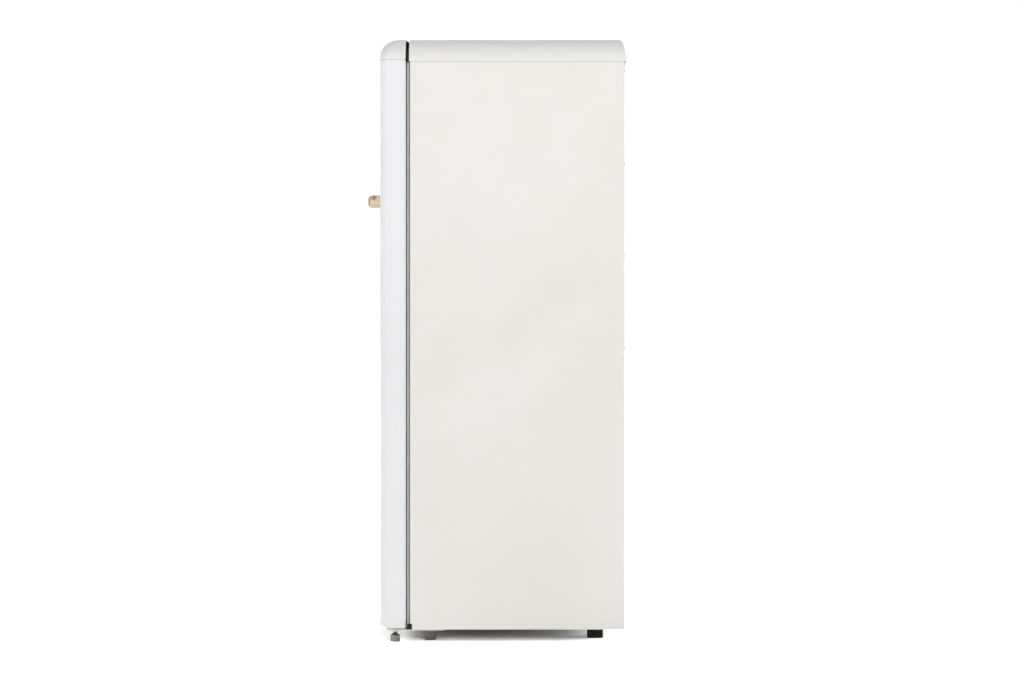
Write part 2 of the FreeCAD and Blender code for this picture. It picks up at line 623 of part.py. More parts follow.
def hinge_pins():
    """The lower pin rises into the door, and the upper one hangs down into it."""
    lower = rod(Vec(PIVOT.x, PIVOT.y, BRACKET_BOTTOM), Z_AXIS, 27, PIN_RADIUS)
    upper = rod(Vec(PIVOT.x, PIVOT.y, 1362), Z_AXIS, 24.5, PIN_RADIUS)
    lower = lower.makeChamfer(1.0, [lower.Edges[0]])
    return Part.makeCompound([lower, upper])


def hinge_washer():
    base = Vec(PIVOT.x, PIVOT.y, BRACKET_TOP)
    return rod(base, Z_AXIS, 2.2, 9.0).cut(rod(base, Z_AXIS, 2.2, PIN_RADIUS + RUNNING))


def bracket_fasteners():
    """Screws for the hinge and foot brackets, and the nuts that the adjustable feet turn in."""
    shapes = [screw(Vec(x, y, COVER_LINE + 3), Z_AXIS, **BRACKET_SCREW) for x, y in TOP_SCREWS]
    for side in (1, -1):
        seats = [Vec(side * x, y, BRACKET_BOTTOM) for x, y in PLATE_SCREWS]
        shapes += [screw(seat, Z_AXIS * -1, **BRACKET_SCREW) for seat in seats]
        nut = slab_xy(hexagon(side * FOOT_X, FOOT_Y, 7.5), [0] * 6, 23.5, BRACKET_BOTTOM)
        shapes.append(nut.cut(rod(Vec(side * FOOT_X, FOOT_Y, 20), Z_AXIS, 20, PIN_RADIUS + RUNNING)))
    return Part.makeCompound(shapes)


def fastener_holes():
    """Clearance for the bracket screws' shanks in whatever they pass through."""
    length, radius = BRACKET_SCREW["length"], BRACKET_SCREW["shank_radius"]
    holes = [rod(Vec(x, y, COVER_LINE + 3), Z_AXIS * -1, length, radius) for x, y in TOP_SCREWS]
    for side in (1, -1):
        holes += [rod(Vec(side * x, y, BRACKET_BOTTOM), Z_AXIS, length, radius) for x, y in PLATE_SCREWS]
    return holes


def front_foot():
    """An adjustable foot: a grey moulded base on a threaded stud."""
    base = rod(Vec(FOOT_X, FOOT_Y, 0), Z_AXIS, 17.0, FOOT_RADIUS)
    base = base.makeFillet(2.2, [e for e in base.Edges if e.Closed])
    flutes, ring = [], FOOT_RADIUS + 1.2
    for i in range(12):
        turn = i * math.pi / 6
        place = Vec(FOOT_X + ring * math.cos(turn), FOOT_Y + ring * math.sin(turn), 5)
        flutes.append(rod(place, Z_AXIS, 20, 1.8))
    stud = rod(Vec(FOOT_X, FOOT_Y, 15), Z_AXIS, 18, PIN_RADIUS)
    shoulder = Part.makeCone(9.0, 6.0, 3.0, Vec(FOOT_X, FOOT_Y, 17.0), Z_AXIS)
    return fuse(base.cut(flutes), shoulder, stud)


def glide_foot():
    """The fixed front foot behind the bracket: a slightly tapered plug."""
    rim, radius = 6.0, 15.3
    foot = Part.makeCone(13.6, radius, CABINET_BOTTOM - rim, Vec(GLIDE_X, GLIDE_Y, 0), Z_AXIS)
    foot = foot.makeFillet(3.0, [e for e in foot.Edges if e.Closed and abs(e.CenterOfMass.z) < 0.01])
    return fuse(foot, rod(Vec(GLIDE_X, GLIDE_Y, CABINET_BOTTOM - rim), Z_AXIS, rim, radius))


def rear_foot():
    block = box(125, 155, 226, 264, 0, CABINET_BOTTOM)
    block = rounded(block, 4.0, Z_AXIS)
    return block.makeFillet(2.5, edges_at_bottom(block, 0))


def door_sweep(low, high):
    """The round space about the hinge axis that the door's back corner turns through."""
    return rod(Vec(PIVOT.x, PIVOT.y, low), Z_AXIS, high - low, SWEEP_RADIUS)


def hinge_gap_block():
    """A small black clip at the foot of the door's gap, which laps the corner of the side panel."""
    front, lap, proud = CAB_FRONT - 6.5, 5.0, 0.8
    top = GASKET_BOTTOM - CUT
    block = box(238, PANEL_OUT, front, CAB_FRONT - 2 * FIT, BRACKET_TOP, top)
    face = box(PANEL_OUT, PANEL_OUT + proud, front, CAB_FRONT + lap, BRACKET_TOP, top + 2)
    return fuse(block, face).cut(door_sweep(BRACKET_TOP - CUT, top + 2 + CUT))


def hinge_covers():
    """Black fillers in the gap at both ends of the top cover, each with a way through for a hinge's arm."""
    front, back = CAP_BACK + 1.2, COVER_FRONT
    low, inset, fall = COVER_LINE + 1.2, 1.5, 8.0
    half, high, corner = COVER_HALF - inset, HEIGHT - inset, TOP_CORNER - inset
    side = [(front, low), (back, low), (back, high - fall), (front, high)]
    filler = slab_yz(side, [0] * 4, ARM_X - 12, COVER_HALF)
    face = [(-half, low - CUT), (half, low - CUT), (half, high), (-half, high)]
    across = slab_xz(face, [0, 0, corner, corner], front - CUT, back + CUT)
    filler = filler.common(across).cut(door_sweep(low - CUT, high + CUT))
    arm_way = box(ARM_X - 6.5, ARM_X + 6.5, front - CUT, back + CUT, ARM_LOW - 0.5, ARM_LOW + ARM_THICK + 0.5)
    return Part.makeCompound([filler.cut(arm_way), mirrored(filler)])


# ---------------------------------------------------------------- door
def door_skin(cutters):
    """The folded steel front: flat face, two rounded upright edges and narrow returns at the back."""
    heel = 2.0

    def body(inset):
        x, y0, y1 = PANEL_OUT - inset, DOOR_FRONT + inset, DOOR_BACK - inset
        radii = [DOOR_EDGE - inset, DOOR_EDGE - inset, heel - inset, heel - inset]
        return slab_xy([(-x, y0), (x, y0), (x, y1), (-x, y1)], radii, DOOR_SKIN_BOTTOM, CAP_LINE)

    opening = box(-DOOR_OPENING, DOOR_OPENING, DOOR_BACK - heel, DOOR_BACK + CUT, 0, HEIGHT)
    return body(0).cut([body(SHEET), opening] + cutters)


def cap_block(inset):
    """The door's top cap as a stack of rounded outlines that draw in towards the top."""
    steps = 16
    side_radius, front_radius, edge = TOP_CORNER - inset, CAP_FRONT - inset, DOOR_EDGE - inset
    sections = []
    for i in range(steps + 1):
        up = min(side_radius * math.sin(math.pi / 2 * i / steps), side_radius - 0.01)
        rise = max(up - (side_radius - front_radius), 0.0)
        side = side_radius - math.sqrt(side_radius ** 2 - up ** 2)
        lean = front_radius - math.sqrt(front_radius ** 2 - rise ** 2)
        x, y0, y1 = COVER_HALF - inset - side, DOOR_FRONT + inset + lean, CAP_BACK - inset
        corner = edge * (1 - 0.5 * lean / front_radius)
        face = outline([(-x, y0), (x, y0), (x, y1), (-x, y1)], [corner, corner, 0, 0],
                       lambda u, v: Vec(u, v, CAP_LINE + up))
        sections.append(face.OuterWire)
    return Part.makeLoft(sections, True, False)


def hinge_pocket():
    """The space in the cap that the hinge's arm sweeps as the door opens."""
    return box(ARM_X - 9, PIVOT.x + 20, PIVOT.y - 12, CAP_BACK + CUT, ARM_LOW - 1.2, ARM_LOW + ARM_THICK + 2)


def door_top_cap():
    """The moulded top of the door, hollow inside, with a thick block at each hinge corner."""
    outside = cap_block(0)
    shell = outside.cut(cap_block(2.5))
    corner = box(ARM_X - 18, COVER_HALF, DOOR_FRONT, CAP_BACK, CAP_LINE, 1400).common(outside)
    block = fuse(shell, corner, mirrored(corner))
    pocket, seat = hinge_pocket(), rod(Vec(PIVOT.x, PIVOT.y, 1380), Z_AXIS, 10, BUSH_RADIUS)
    return block.cut([pocket, seat, mirrored(pocket)])


def door_bottom_cap():
    """The moulded bottom of the door: its front slopes, and its back edge reaches out under the gasket."""
    half, low, high = PANEL_OUT, DOOR_BOTTOM, DOOR_SKIN_BOTTOM
    corners = [(-half, DOOR_FRONT), (half, DOOR_FRONT), (half, CAP_BACK), (-half, CAP_BACK)]
    plan = slab_xy(corners, [DOOR_EDGE, DOOR_EDGE, 2, 2], low, high)
    step = GASKET_BOTTOM - CUT
    slope = [(DOOR_FRONT, high), (DOOR_FRONT + 3.5, high - 2.8), (DOOR_FRONT + 27, low), (CAP_BACK, low),
             (CAP_BACK, step), (DOOR_BACK, step), (DOOR_BACK, high)]
    side = slab_yz(slope, [0, 5, 12, 0, 0, 0, 0], -half, half)
    seat = rod(Vec(PIVOT.x, PIVOT.y, low - CUT), Z_AXIS, high - low + 2 * CUT, BUSH_RADIUS)
    return plan.common(side).cut([seat, mirrored(seat)])


def dyke(inset):
    """The raised ring on the door's inner face, between whose sides the bins hang."""
    radius = 7.0 - inset
    outer = box(-DYKE_HALF + inset, DYKE_HALF - inset, DOOR_BACK - PLASTIC, DYKE_BACK - inset,
                DYKE_BOTTOM + inset, DYKE_TOP - inset)
    inner = box(-DYKE_INNER - inset, DYKE_INNER + inset, DOOR_BACK - PLASTIC, DYKE_BACK + 1,
                DYKE_BOTTOM + DYKE_WALL - inset, DYKE_TOP - DYKE_WALL + inset)
    ring = rounded(outer, radius, Y_AXIS).cut(rounded(inner, 4.0, Y_AXIS))
    crest = [e for e in ring.Edges if abs(e.BoundBox.YMin - DYKE_BACK + inset) < 0.01]
    return ring.makeFillet(radius - 2.0, crest)


BIN_PLACES = {"door_bin_top": (1105.0, 62.0), "door_bin_upper": (850.0, 70.0),
              "door_bin_lower": (585.0, 70.0), "door_bottle_bin": (190.0, 105.0)}


def door_liner():
    """The door's white inner skin: a lip all round, a raised ring, and ledges that the bins stand on."""
    half = DOOR_OPENING - FIT
    plate = box(-half, half, DOOR_BACK - PLASTIC, DOOR_BACK, DOOR_SKIN_BOTTOM, CAP_LINE)
    side, side_width, end_width = PANEL_OUT - 2.6, 14.0, 4.0
    low, high, back = DOOR_SKIN_BOTTOM + CUT, CAP_LINE - CUT, DOOR_BACK + LIP
    lip = rounded(box(-side, side, DOOR_BACK, back, low, high), 3.0, Y_AXIS)
    within = side - side_width
    rim = lip.cut(box(-within, within, DOOR_BACK - CUT, back + CUT, low + end_width, high - end_width))
    hollow = dyke(PLASTIC)
    ledges = []
    for low, _ in BIN_PLACES.values():
        ledge = box(DYKE_INNER - 7, DYKE_INNER + 1, DOOR_BACK + 6, DYKE_BACK - 8, low - 7, low - FIT)
        ledges += [ledge, mirrored(ledge)]
    return fuse(plate, rim, dyke(0), *ledges).cut(hollow)


def door_foam(cutters):
    """The foam core of the door, which also fills the raised ring."""
    x, front, back, edge = PANEL_IN, DOOR_FRONT + SHEET, DOOR_BACK - PLASTIC, DOOR_EDGE - SHEET
    corners = [(-x, front), (x, front), (x, back - 0.7), (x - 2, back), (-x + 2, back), (-x, back - 0.7)]
    core = slab_xy(corners, [edge, edge, 0, 0, 0, 0], DOOR_SKIN_BOTTOM, CAP_LINE)
    seats = []
    for low, high in BUSH_SPANS:
        seats.append(rod(Vec(PIVOT.x, PIVOT.y, low - 3), Z_AXIS, high - low + 6, BUSH_RADIUS))
    return fuse(core, dyke(PLASTIC)).cut(seats + cutters)


def gasket_frame(section):
    """Four lengths of a section (u inwards, v towards the cabinet) mitred into a frame."""
    half, low, high = GASKET_HALF, GASKET_BOTTOM, GASKET_TOP
    sharp = [0] * len(section)
    side = slab_xy([(half - u, DOOR_BACK + v) for u, v in section], sharp, low, high)
    top = slab_yz([(DOOR_BACK + v, high - u) for u, v in section], sharp, -half, half)
    side_room = [(half, low), (half, high), (0, high - half), (0, low + half)]
    top_room = [(-half, high), (half, high), (half / 2, high - half / 2), (-half / 2, high - half / 2)]
    side = side.common(slab_xz(side_room, [0] * 4, DOOR_BACK - CUT, CAB_FRONT))
    top = top.common(slab_xz(top_room, [0] * 4, DOOR_BACK - CUT, CAB_FRONT))
    bottom = top.mirror(Vec(0, 0, (low + high) / 2), Z_AXIS)
    return [side, mirrored(side), top, bottom]


GASKET_REACH = DOOR_GAP - 0.3
GASKET_SECTION = [
    (6, 0), (20, 0), (20, 1.8), (18.4, 3.8), (20.4, 5.9), (19.0, 6.8), (22.5, 7.2), (22.5, GASKET_REACH),
    (2.0, GASKET_REACH), (0.6, 10.6), (0.6, 8.2), (2.0, 7.2), (5.0, 6.8), (2.6, 4.9), (5.4, 2.8), (5.4, 1.6),
    (6, 1.2),
]
FIN_SECTION = [(3, 9.4), (-14.6, 9.4), (-16, 8.4), (-16, 7.2), (-14.6, 6.3), (3, 6.9)]
MAGNET_LOW, MAGNET_HIGH = (7.0, 8.4), (17.0, 11.4)    # two corners of the magnets' section


def door_gasket():
    """The bellows frame, with a soft fin along each upright that hides the depth of the gap."""
    fin = slab_xy([(GASKET_HALF - u, DOOR_BACK + v) for u, v in FIN_SECTION], [0] * len(FIN_SECTION),
                  GASKET_BOTTOM + CUT, GASKET_TOP - CUT)
    frame = fuse(*gasket_frame(GASKET_SECTION), fin, mirrored(fin))
    return frame.cut(gasket_magnets())


def gasket_magnets():
    """The flexible magnetic strips inside the gasket: four lengths, cut short of the corners."""
    (u0, v0), (u1, v1) = MAGNET_LOW, MAGNET_HIGH
    y0, y1, clear = DOOR_BACK + v0, DOOR_BACK + v1, 26.0
    upright = box(GASKET_HALF - u1, GASKET_HALF - u0, y0, y1, GASKET_BOTTOM + clear, GASKET_TOP - clear)
    level = box(-GASKET_HALF + clear, GASKET_HALF - clear, y0, y1, GASKET_TOP - u1, GASKET_TOP - u0)
    low = box(-GASKET_HALF + clear, GASKET_HALF - clear, y0, y1, GASKET_BOTTOM + u0, GASKET_BOTTOM + u1)
    return Part.makeCompound([upright, mirrored(upright), level, low])


def hinge_bushes():
    """Plastic sleeves in the door's two hinge seats."""
    shapes = []
    for low, high in BUSH_SPANS:
        sleeve = rod(Vec(PIVOT.x, PIVOT.y, low), Z_AXIS, high - low, BUSH_RADIUS)
        bore = rod(Vec(PIVOT.x, PIVOT.y, low - CUT), Z_AXIS, high - low + 2 * CUT, PIN_RADIUS + RUNNING)
        shapes.append(sleeve.cut(bore))
    return Part.makeCompound(shapes)


def door_bin(low, height):
    """An open-topped bin with rounded front corners, which stands on the liner's ledges."""
    corner = 18.0

    def block(inset, top, foot):
        half, y0, y1, floor = BIN_HALF - inset, DOOR_BACK + 0.4 + inset, BIN_BACK - inset, low + inset
        solid = rounded(box(-half, half, y0, y1, floor, top), corner - inset, Z_AXIS, y=[y1])
        return solid.makeFillet(foot, [e for e in edges_at_bottom(solid, floor) if e.CenterOfMass.y > y0 + 1])

    return block(0, low + height, 6.0).cut(block(BIN_WALL, low + height + CUT, 4.0))


def handle_bar(cutters):
    """The wooden bar. Its top edges are well rounded, except at the back, and the others only a little."""
    back, high = HANDLE_FRONT + HANDLE_DEPTH, HANDLE_BOTTOM + HANDLE_HEIGHT
    bar = box(HANDLE_LEFT, HANDLE_RIGHT, HANDLE_FRONT, back, HANDLE_BOTTOM, high)
    bar = bar.makeFillet(HANDLE_CROWN, [e for e in edges_at_top(bar, high) if e.CenterOfMass.y < back - 0.01])
    bar = bar.makeFillet(HANDLE_EDGE, edges_along(bar, Z_AXIS) + edges_at_bottom(bar, HANDLE_BOTTOM))
    return bar.cut(cutters)


def handle_posts(cutters):
    posts = []
    for x in HANDLE_POSTS:
        foot = Vec(x, DOOR_FRONT, HANDLE_MID)
        post = rod(foot, Y_AXIS * -1, HANDLE_REACH - HANDLE_DEPTH, HANDLE_POST_RADIUS)
        posts.append(post.cut(cutters))
    return Part.makeCompound(posts)


def handle_screws():
    """Screws from inside the door, through its skin and the posts, into the bar."""
    seats = [Vec(x, DOOR_FRONT + SHEET, HANDLE_MID) for x in HANDLE_POSTS]
    return Part.makeCompound([screw(seat, Y_AXIS, 6.5, 3.0, 2.5, 36) for seat in seats])


# ---------------------------------------------------------------- assembly
def build():
    pot = compressor_shell()
    holes = fastener_holes()
    drain = fuse(drain_core(DRAIN_RADIUS, HUMP_TOP - PLASTIC), drain_core(DRAIN_BORE, DRAIN_TOP))
    screws = handle_screws()
    crisper_glass = glass_shelf(CRISPER_COVER_LEVEL, HUMP_FRONT - 4)
    shelves = {level: glass_shelf(level, SHELF_BACK) for level in SHELF_LEVELS}
    trims = [shelf_trim(level, glass) for level, glass in shelves.items()]
    trims += [rear_trim(level, SHELF_BACK, glass) for level, glass in shelves.items()]
    trims.append(shelf_trim(CRISPER_COVER_LEVEL, crisper_glass))
    panel, foot = side_panel(), front_foot()
    parts = {
        "side_panel_right": panel,
        "side_panel_left": mirrored(panel),
        "top_plate": top_plate(holes),
        "bottom_pan": bottom_pan(holes + [drain]),
        "back_panel": back_panel(),
        "compressor_base": compressor_base(),
        "top_cover": top_cover(),
        "inner_liner": inner_liner(),
        "foam_insulation": foam(holes + [drain]),
        "condenser_tubes": condenser_tubes(),
        "evaporator": evaporator(),
        "glass_shelf_upper": shelves[SHELF_LEVELS[2]],
        "glass_shelf_middle": shelves[SHELF_LEVELS[1]],
        "glass_shelf_lower": shelves[SHELF_LEVELS[0]],
        "crisper_cover_glass": crisper_glass,
        "shelf_trims": Part.makeCompound(trims),
        "crisper_drawer": crisper_drawer(),
        "crisper_front_trim": crisper_front_trim(),
        "control_housing": control_housing(),
        "lamp_lens": lamp_lens(),
        "led_board": led_board(),
        "thermostat": thermostat(),
        "thermostat_knob": thermostat_knob(),
        "compressor_shell": pot,
        "compressor_mounting_plate": compressor_mounting_plate(pot),
        "compressor_grommets": compressor_grommets(),
        "compressor_bolts": compressor_bolts(),
        "relay_cover": relay_cover(pot),
        "compressor_tubes": Part.makeCompound([suction_tube(pot), discharge_tube(pot)]),
        "filter_drier": filter_drier(),
        "evaporation_tray": evaporation_tray(),
        "drain_tube": drain_tube(),
        "cord_gland": cord_gland(),
        "top_hinge_bracket": top_hinge_bracket().cut(holes),
        "lower_hinge_bracket": lower_hinge_bracket(holes),
        "left_foot_bracket": left_foot_bracket(holes),
        "hinge_pins": hinge_pins(),
        "hinge_washer": hinge_washer(),
        "hinge_gap_block": hinge_gap_block(),
        "hinge_covers": hinge_covers(),
        "bracket_fasteners": bracket_fasteners(),
        "front_foot_right": foot,
        "front_foot_left": mirrored(foot),
        "glide_feet": both_sides(glide_foot()),
        "rear_feet": both_sides(rear_foot()),
        "door_skin": door_skin([screws]),
        "door_top_cap": door_top_cap(),
        "door_bottom_cap": door_bottom_cap(),
        "door_liner": door_liner(),
        "door_foam": door_foam([screws]),
        "door_gasket": door_gasket(),
        "gasket_magnets": gasket_magnets(),
        "hinge_bushes": hinge_bushes(),
        "handle_bar": handle_bar([screws]),
        "handle_posts": handle_posts([screws]),
        "handle_screws": screws,
    }
    for name, (low, height) in BIN_PLACES.items():
        parts[name] = door_bin(low, height)
    return parts


def main():
    os.makedirs("parts", exist_ok=True)
    for old in os.listdir("parts"):
        os.remove(os.path.join("parts", old))
    parts = build()
    for name, shape in parts.items():
        solids = shape.Solids
        bad = [s for s in solids if not s.isValid() or not s.isClosed() or s.Volume <= 0]
        if not solids or bad:
            print("PROBLEM", name, len(solids), "solids,", len(bad), "bad")
        Part.makeCompound(solids).exportStep(f"parts/{name}.step")
    print(len(parts), "nodes,", sum(len(s.Solids) for s in parts.values()), "solids")


main()
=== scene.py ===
import json
import math

import bmesh
import bpy
from mathutils import Matrix, Vector


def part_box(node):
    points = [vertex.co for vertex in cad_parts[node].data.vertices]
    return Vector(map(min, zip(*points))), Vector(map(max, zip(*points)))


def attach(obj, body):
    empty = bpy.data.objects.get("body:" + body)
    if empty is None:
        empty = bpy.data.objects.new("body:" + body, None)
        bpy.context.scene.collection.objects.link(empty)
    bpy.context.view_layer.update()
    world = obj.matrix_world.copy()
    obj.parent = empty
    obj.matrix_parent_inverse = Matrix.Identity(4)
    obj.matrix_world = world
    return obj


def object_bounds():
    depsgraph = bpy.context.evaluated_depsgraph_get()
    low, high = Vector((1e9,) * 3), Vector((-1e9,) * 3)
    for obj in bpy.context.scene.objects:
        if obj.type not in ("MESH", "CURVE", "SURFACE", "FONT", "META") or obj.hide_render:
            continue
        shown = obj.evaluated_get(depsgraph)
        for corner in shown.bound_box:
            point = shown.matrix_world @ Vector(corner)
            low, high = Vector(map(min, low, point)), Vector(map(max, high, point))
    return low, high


# The looks of a tall single-door refrigerator: its materials, its small details, the studio and the camera.
# Metres, +Z up. The door faces -Y, and its hinge is on the +X side.

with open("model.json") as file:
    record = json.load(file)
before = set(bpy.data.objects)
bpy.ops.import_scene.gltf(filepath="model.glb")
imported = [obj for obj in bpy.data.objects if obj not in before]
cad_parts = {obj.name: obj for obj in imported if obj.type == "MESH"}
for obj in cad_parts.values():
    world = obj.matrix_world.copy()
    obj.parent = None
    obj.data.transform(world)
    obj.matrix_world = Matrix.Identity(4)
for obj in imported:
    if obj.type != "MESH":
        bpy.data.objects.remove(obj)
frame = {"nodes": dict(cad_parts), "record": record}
cad_low, cad_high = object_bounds()

UP = Vector((0, 0, 1))

# Sizes that the CAD model's boxes don't show.
DOOR_EDGE = 0.025            # radius of the door's upright front edges
DOOR_FOLD = 0.002            # radius of its upright back edges
PANEL_FOLD = 0.001           # radius of the side panels' upright edges
PAD_HEIGHT = 0.0024          # of the pads pressed in the back sheet
DIAL_GRIP = 0.008            # how far the dial's grip stands out of its face
LAMP_TOP = (0.0014, 0.0017)  # heights over the lamp board's underside between which the lamps end
FOOT_NECK = (0.0145, 0.0175)     # heights between which a front foot narrows to its stem
FOOT_REACH = (0.03, 0.02)    # how far behind the front feet there is none of the darker band over their tops, and all of it

# Small details.
SEAM = 0.0005                # radius of the seals under the door's cap and the cabinet's cover; their grey also paints the shadow line of each joint
SEAM_DROP = 0.0002           # how far their middle lies below the joint
BEAD_SIDES = 8
CORNER_STEPS = 8
SCREW_RADIUS = 0.0038
SCREW_SIDES = 32
SCREW_ROWS = 6               # on each side of the back sheet
SCREW_INSET = 0.009          # from the sheet's upright edges
SCREW_END = 0.02             # from its top and bottom edges
PLATE_SCREW_INSET = 0.04     # from the compressor plate's edge
PLATE_SCREW_RISE = 0.008     # over the plate's underside
FIGURE_TURNS = (35, 90, 145, 215, 270, 325)  # degrees clockwise from the top of the dial
FIGURE_CIRCLE = 0.74         # share of the dial's radius
FIGURE_SIZE = 0.0052
PRINT_DEPTH = 0.00004        # to each side of the figures' middle
MARK_DEPTH = 0.00005
MARK_GAP = 0.002             # from the mark's tip to the dial
MARK_OUTLINE = [(0, 0, 0), (-0.006, 0, 0.0026), (-0.0052, 0, 0), (-0.006, 0, -0.0026)]

# The studio's light: how bright the world is in each direction, against the white of the picture, and
# between which parts of a direction's X or Z one level passes into the next.
WALL_LEVEL = 0.55
BACKDROP_LEVEL = 1.08
BACKDROP_EDGE = (-0.55, -0.93)
CEILING_SHARE = 0.92
CEILING_EDGE = (0.15, 0.85)
HORIZON_LEVEL = 1.05
HORIZON_EDGE = (0.22, 0.04)
LAMP_GLOW = 5.0              # of the refrigerator's own lamp
FLOOR_REACH = 400.0          # from the middle to each edge
FLOOR_LIGHTS = [  # name, strength, spread, direction it comes from, its rise over the floor, and its bounces
    ("floor_side", 11.5, 38.0, (0.93, 0.36), 25.0, 0),
    ("floor_low", 2.1, 8.0, (0.93, 0.36), 12.5, 0),
    ("floor_front", 3.4, 24.0, (0, -1), 32.0, 1),
    ("floor_back", 7.0, 20.0, (0, 1), 14.0, 0),
]
SOFTBOXES = [  # name, place, what it faces, width, and power
    ("key", (2.8, -1.3, 2.2), (0.27, -0.1, 1.0), 1.5, 11.6),
    ("fill", (2.6, 1.8, 2.3), (0.27, 0.25, 1.2), 1.4, 14.0),
]

CAMERA_DISTANCE = 6.0        # from the side that faces it
CAMERA_SIDEWAYS = 0.0443     # its place along Y
CAMERA_HEIGHT = 0.7156
CAMERA_LENS = 89.15          # mm, on a sensor of this width:
CAMERA_SENSOR = 36.0
CAMERA_SIGHT = (0.05, 200.0)     # nearest and farthest


# ---------------------------------------------------------------- materials: the helper
def seen(red, green, blue):
    """A colour as it is seen on a screen, 0 to 255, as the linear values that shaders take."""
    linear = []
    for value in (red, green, blue):
        share = value / 255
        linear.append(share / 12.92 if share <= 0.04045 else ((share + 0.055) / 1.055) ** 2.4)
    return (*linear, 1.0)


class Look:
    """A procedural material: one Principled shader and the patterns that feed it, laid out in metres."""

    def __init__(self, name, **even):
        """Starts a material with the shader's values that are the same all over it."""
        self.material = bpy.data.materials.new(name)
        self.material.use_nodes = True
        self.tree = self.material.node_tree
        self.shader = self.tree.nodes["Principled BSDF"]
        self.place = self.node("ShaderNodeTexCoord").outputs["Object"]
        self.normal = None
        for words, value in even.items():
            self.set(words.replace("_", " "), value)

    def node(self, kind, inputs=None, **settings):
        """A new node, with its inputs and settings."""
        made = self.tree.nodes.new(kind)
        for key, value in settings.items():
            setattr(made, key, value)
        for key, value in (inputs or {}).items():
            self.join(value, made.inputs[key])
        return made

    def join(self, value, socket):
        """Links an output to a socket, or gives the socket a plain value."""
        if isinstance(value, bpy.types.NodeSocket):
            self.tree.links.new(value, socket)
        else:
            socket.default_value = value

    def set(self, words, value):
        """Gives the shader a value or a pattern, by the input's name in any case."""
        names = {name.lower(): name for name in self.shader.inputs.keys()}
        self.join(value, self.shader.inputs[names[words.lower()]])

    def stretched(self, x, y, z, shift=(0, 0, 0)):
        """The place, with its distances along each axis multiplied, and then shifted."""
        return self.node("ShaderNodeMapping", {"Vector": self.place, "Scale": (x, y, z),
                                               "Location": shift}).outputs["Vector"]

    def noise(self, per_metre, detail, place=None, distortion=0.0):
        """Soft random patches, about so many to the metre."""
        return self.node("ShaderNodeTexNoise", {
            "Vector": place or self.place, "Scale": per_metre, "Detail": detail, "Distortion": distortion,
        }).outputs["Fac"]

    def cells(self, per_metre):
        """Random grey for each cell of a crystal-like pattern."""
        found = self.node("ShaderNodeTexVoronoi", {"Vector": self.place, "Scale": per_metre})
        return self.node("ShaderNodeSeparateColor", {"Color": found.outputs["Color"]}).outputs["Red"]

    def along(self, axis, low, high):
        """0 at the low place along an axis, and 1 at the high one."""
        parts = self.node("ShaderNodeSeparateXYZ", {"Vector": self.place})
        return self.spread(parts.outputs[axis], 0.0, 1.0, low, high)

    def facing_up(self, low, high):
        """0 where the surface faces sideways or down, and 1 where it faces up."""
        normal = self.node("ShaderNodeNewGeometry").outputs["Normal"]
        parts = self.node("ShaderNodeSeparateXYZ", {"Vector": normal})
        return self.spread(parts.outputs["Z"], 0.0, 1.0, low, high)

    def spread(self, value, to_low, to_high, low=0.3, high=0.7):
        """The value moved from one range to another, and held within it."""
        return self.node("ShaderNodeMapRange", {"Value": value, "From Min": low, "From Max": high,
                                                "To Min": to_low, "To Max": to_high}).outputs["Result"]

    def times(self, a, b):
        """One value multiplied by another."""
        return self.node("ShaderNodeMath", {0: a, 1: b}, operation="MULTIPLY").outputs["Value"]

    def ramp(self, value, *stops):
        """A colour for each value, between stops of (value, colour)."""
        made = self.node("ShaderNodeValToRGB", {"Fac": value})
        elements = made.color_ramp.elements
        while len(elements) < len(stops):
            elements.new(1.0)
        for element, (at, colour) in zip(elements, stops):
            element.position, element.color = at, colour
        return made.outputs["Color"]

    def mixed(self, share, first, second):
        """A blend of two colours, by the share of the second."""
        made = self.node("ShaderNodeMix", data_type="RGBA")
        factor, a, b = (made.inputs[i] for i in (0, 6, 7))
        for value, socket in ((share, factor), (first, a), (second, b)):
            self.join(value, socket)
        return made.outputs[2]

    def relief(self, height, depth):
        """Raises the surface by up to a depth in metres, over any relief that it already has."""
        inputs = {"Height": height, "Distance": depth}
        if self.normal is not None:
            inputs["Normal"] = self.normal
        self.normal = self.node("ShaderNodeBump", inputs).outputs["Normal"]
        self.set("Normal", self.normal)


# ---------------------------------------------------------------- materials: one function each
def enamel(name, low, high, gloss):
    """Baked paint on sheet steel: orange peel about a millimetre wide, and slow changes of tone and gloss."""
    look = Look(name, Coat_Weight=0.12, Coat_Roughness=0.18)
    look.set("Base Color", look.ramp(look.noise(2.1, 3), (0.35, low), (0.65, high)))
    look.set("Roughness", look.spread(look.noise(7.0, 4), gloss - 0.04, gloss + 0.05))
    look.relief(look.noise(640, 2), 0.00003)
    look.relief(look.noise(5.0, 1), 0.0009)
    return look.material


def moulded(name, colour, gloss, grain, depth):
    """Injection-moulded plastic with a fine spark-eroded grain."""
    look = Look(name, Base_Color=colour)
    look.set("Roughness", look.spread(look.noise(35, 3), gloss - 0.04, gloss + 0.05))
    look.relief(look.noise(grain, 2), depth)
    return look.material


def thermoformed():
    """The glossy white sheet of the liners, with the slow waves that forming leaves."""
    look = Look("white_liner", Subsurface_Weight=0.04, Subsurface_Radius=(0.004, 0.004, 0.004))
    tone = look.noise(4.0, 3)
    look.set("Base Color", look.ramp(tone, (0.3, seen(236, 239, 240)), (0.7, seen(242, 243, 242))))
    look.set("Roughness", look.spread(look.noise(14, 4), 0.15, 0.27))
    look.relief(look.noise(16, 1), 0.0007)
    look.relief(look.noise(900, 2), 0.00001)
    return look.material


def back_paint():
    """Grey primer on the back sheet, a little dusty and rubbed."""
    look = Look("back_paint")
    dust = look.noise(14, 6)
    look.set("Base Color", look.ramp(dust, (0.3, seen(200, 201, 200)), (0.7, seen(206, 206, 204))))
    look.set("Roughness", look.spread(dust, 0.46, 0.58))
    look.relief(look.noise(420, 3), 0.00004)
    return look.material


